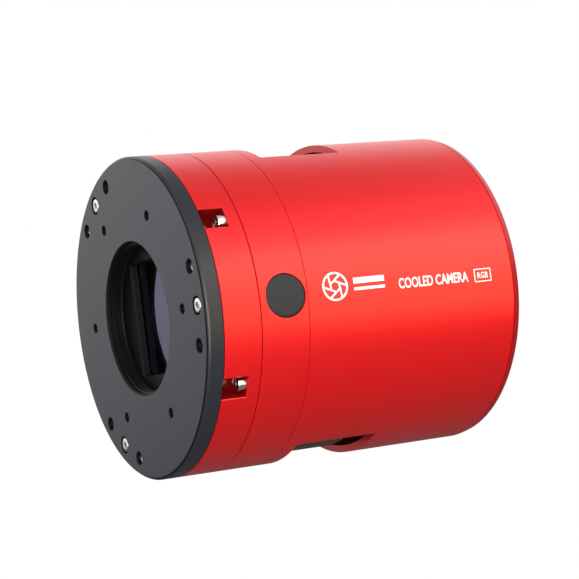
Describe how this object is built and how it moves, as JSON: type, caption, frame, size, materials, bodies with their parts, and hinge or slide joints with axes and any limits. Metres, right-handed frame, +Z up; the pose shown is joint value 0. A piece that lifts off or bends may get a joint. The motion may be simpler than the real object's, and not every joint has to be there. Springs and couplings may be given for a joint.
{
  "type": "cooled astronomy camera",
  "caption": "Round red cooled camera with a black threaded tilt plate, deep-set sensor behind a window, vent windows over a finned cooler, a fan and rear sockets.",
  "frame": {"origin": "centre of the front mounting face, on the optical axis", "axes": "-Y out of the front towards the telescope, +Y towards the sockets, +Z up, +X through the drying plug"},
  "size_m": [0.09, 0.098, 0.09],
  "materials": {
    "red_anodised": "satin anodised",
    "black_anodised": "satin black anodised",
    "plug_black": "satin",
    "bright_steel": "bright, turned",
    "sink_black": "black anodised",
    "window_glass": "coated, clear",
    "seal_rubber": "matt",
    "ceramic_white": "matt",
    "sensor_die": "polished, coated",
    "sensor_package": "matt",
    "circuit_board": "satin lacquer",
    "copper": "machined",
    "insulation_foam": "matt foam",
    "fan_plastic": "moulded",
    "socket_blue": "moulded",
    "socket_shell": "plated",
    "socket_black": "moulded",
    "desiccant": "matt",
    "heater_film": "satin film"
  },
  "bodies": {
    "plate": {"tilt_plate": "black_anodised", "pull_screw_1": "bright_steel", "pull_screw_2": "bright_steel", "pull_screw_3": "bright_steel", "push_screw_1": "bright_steel", "push_screw_2": "bright_steel", "push_screw_3": "bright_steel", "lock_screw_1": "black_anodised", "lock_screw_2": "black_anodised", "lock_screw_3": "black_anodised"},
    "camera": {"window_bezel": "black_anodised", "front_ring": "red_anodised", "middle_ring": "red_anodised", "main_barrel": "red_anodised", "rear_cover": "red_anodised", "chamber_window": "window_glass", "sensor_cover_glass": "window_glass", "heater_film": "heater_film", "window_seal": "seal_rubber", "chamber_seal": "seal_rubber", "sensor_package": "sensor_package", "sensor_die": "sensor_die", "sensor_board": "circuit_board", "cold_finger": "copper", "thermoelectric_cooler": "ceramic_white", "insulation_ring": "insulation_foam", "heat_sink": "sink_black", "fan_housing": "fan_plastic", "main_board": "circuit_board", "data_socket": "socket_blue", "hub_socket_1": "socket_shell", "hub_socket_2": "socket_shell", "power_socket": "socket_black", "ring_screw_1": "bright_steel", "ring_screw_2": "bright_steel", "ring_screw_3": "bright_steel", "ring_screw_4": "bright_steel", "ring_screw_5": "bright_steel", "ring_screw_6": "bright_steel", "cover_screw_1": "bright_steel", "fan_screw_1": "bright_steel", "fan_spacer_1": "socket_shell", "cover_screw_2": "bright_steel", "fan_screw_2": "bright_steel", "fan_spacer_2": "socket_shell", "cover_screw_3": "bright_steel", "fan_screw_3": "bright_steel", "fan_spacer_3": "socket_shell", "cover_screw_4": "bright_steel", "fan_screw_4": "bright_steel", "fan_spacer_4": "socket_shell"},
    "rotor": {"fan_rotor": "fan_plastic"},
    "plug": {"drying_plug": "plug_black", "plug_seal": "seal_rubber", "drying_tablet": "desiccant"}
  },
  "joints": [
    {"name": "tilt", "type": "hinge", "parent": "plate", "child": "camera", "pos_m": [-0.045, 0.00485, 0], "axis": [0, 0, 1], "range_deg": [0, 0.6]},
    {"name": "fan_spin", "type": "hinge", "parent": "camera", "child": "rotor", "pos_m": [0, 0.067, 0], "axis": [0, 1, 0], "continuous": true},
    {"name": "plug_out", "type": "slide", "parent": "camera", "child": "plug", "axis": [1, 0, 0], "range_m": [0, 0.014]}
  ]
}
